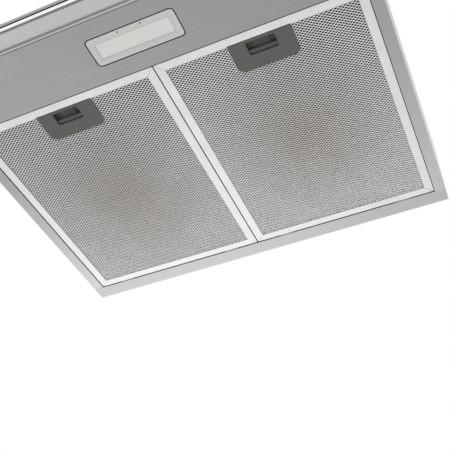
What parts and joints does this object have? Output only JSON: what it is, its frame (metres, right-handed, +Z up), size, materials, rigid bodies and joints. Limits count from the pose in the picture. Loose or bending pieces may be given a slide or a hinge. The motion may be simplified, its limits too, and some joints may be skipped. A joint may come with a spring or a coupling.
{
  "type": "under cabinet range hood",
  "caption": "Slim under-cabinet range hood: brushed steel casing, swing-down mesh grease filters with pull handles, front lamp, blower and top duct collar.",
  "frame": {"origin": "centre of the footprint, knobs included, on the plane of the underside", "axes": "+X to the right seen from the front, +Y to the wall, +Z up"},
  "size_m": [0.6, 0.494, 0.164],
  "materials": {
    "casing_steel": "satin",
    "trim_steel": "satin",
    "inner_steel": "matte",
    "zinc_steel": "satin",
    "filter_aluminium": "satin",
    "filter_core": "matte",
    "handle_plastic": "matte",
    "lamp_plastic": "satin",
    "lens_plastic": "satin",
    "black_plastic": "matte",
    "board": "matte",
    "motor_steel": "satin",
    "shaft_steel": "polished",
    "wheel_plastic": "satin",
    "spring_steel": "satin",
    "screw_steel": "satin",
    "gland_rubber": "matte"
  },
  "bodies": {
    "casing": {"top_panel": "casing_steel", "rear_panel": "casing_steel", "side_panel_left": "casing_steel", "side_panel_right": "casing_steel", "light_panel": "casing_steel", "front_fascia": "casing_steel", "front_rail": "casing_steel", "top_ledge": "casing_steel", "trim_strip": "trim_steel", "centre_support": "zinc_steel", "lamp_bezel": "lamp_plastic", "lamp_lens": "lens_plastic", "led_board": "board", "lamp_cover": "lamp_plastic", "led_driver": "black_plastic", "scroll_left": "zinc_steel", "scroll_right": "zinc_steel", "motor": "motor_steel", "motor_bracket": "zinc_steel", "duct_collar": "black_plastic", "flap_pins": "shaft_steel", "collar_screws": "screw_steel", "control_bezel": "black_plastic", "switch_block": "black_plastic", "junction_box": "black_plastic", "terminal_block": "lamp_plastic", "capacitor": "motor_steel", "cable_gland": "gland_rubber", "collar_ring": "black_plastic"},
    "impeller_wheel": {"impeller_hub": "wheel_plastic", "wheel_blades": "wheel_plastic", "wheel_rings": "wheel_plastic", "impeller_shaft": "shaft_steel"},
    "front_flap": {"flap_front": "black_plastic"},
    "rear_flap": {"flap_rear": "black_plastic"},
    "fan_knob": {"fan_slider": "black_plastic"},
    "light_knob": {"light_slider": "black_plastic"},
    "filter_left": {"filter_frame_left": "filter_aluminium", "filter_mesh_left": "filter_aluminium", "filter_pad_left": "filter_core", "filter_back_mesh_left": "filter_aluminium", "filter_handle_left": "handle_plastic", "latch_spring_left": "spring_steel"},
    "latch_left": {"filter_latch_left": "handle_plastic"},
    "filter_right": {"filter_frame_right": "filter_aluminium", "filter_mesh_right": "filter_aluminium", "filter_pad_right": "filter_core", "filter_back_mesh_right": "filter_aluminium", "filter_handle_right": "handle_plastic", "latch_spring_right": "spring_steel"},
    "latch_right": {"filter_latch_right": "handle_plastic"}
  },
  "joints": [
    {"name": "filter_swing_left", "type": "hinge", "parent": "casing", "child": "filter_left", "pos_m": [-0.14215, 0.2225, 0.001], "axis": [1, 0, 0], "range_deg": [0, 65]},
    {"name": "latch_slide_left", "type": "slide", "parent": "filter_left", "child": "latch_left", "axis": [0, 1, 0], "range_m": [0, 0.005], "stiffness_N_per_m": 400, "springref_m": -0.004, "deforming": ["latch_spring_left"]},
    {"name": "filter_swing_right", "type": "hinge", "parent": "casing", "child": "filter_right", "pos_m": [0.14215, 0.2225, 0.001], "axis": [1, 0, 0], "range_deg": [0, 65]},
    {"name": "latch_slide_right", "type": "slide", "parent": "filter_right", "child": "latch_right", "axis": [0, 1, 0], "range_m": [0, 0.005], "stiffness_N_per_m": 400, "springref_m": -0.004, "deforming": ["latch_spring_right"]},
    {"name": "impeller_spin", "type": "hinge", "parent": "casing", "child": "impeller_wheel", "pos_m": [0, 0.117, 0.069], "axis": [1, 0, 0], "continuous": true},
    {"name": "front_flap_swing", "type": "hinge", "parent": "casing", "child": "front_flap", "pos_m": [0, 0.0938, 0.1414], "axis": [-1, 0, 0], "range_deg": [0, 80]},
    {"name": "rear_flap_swing", "type": "hinge", "parent": "casing", "child": "rear_flap", "pos_m": [0, 0.1002, 0.1414], "axis": [1, 0, 0], "range_deg": [0, 80]},
    {"name": "fan_speed_slide", "type": "slide", "parent": "casing", "child": "fan_knob", "axis": [1, 0, 0], "range_m": [0, 0.018]},
    {"name": "light_switch_slide", "type": "slide", "parent": "casing", "child": "light_knob", "axis": [1, 0, 0], "range_m": [0, 0.008]}
  ]
}
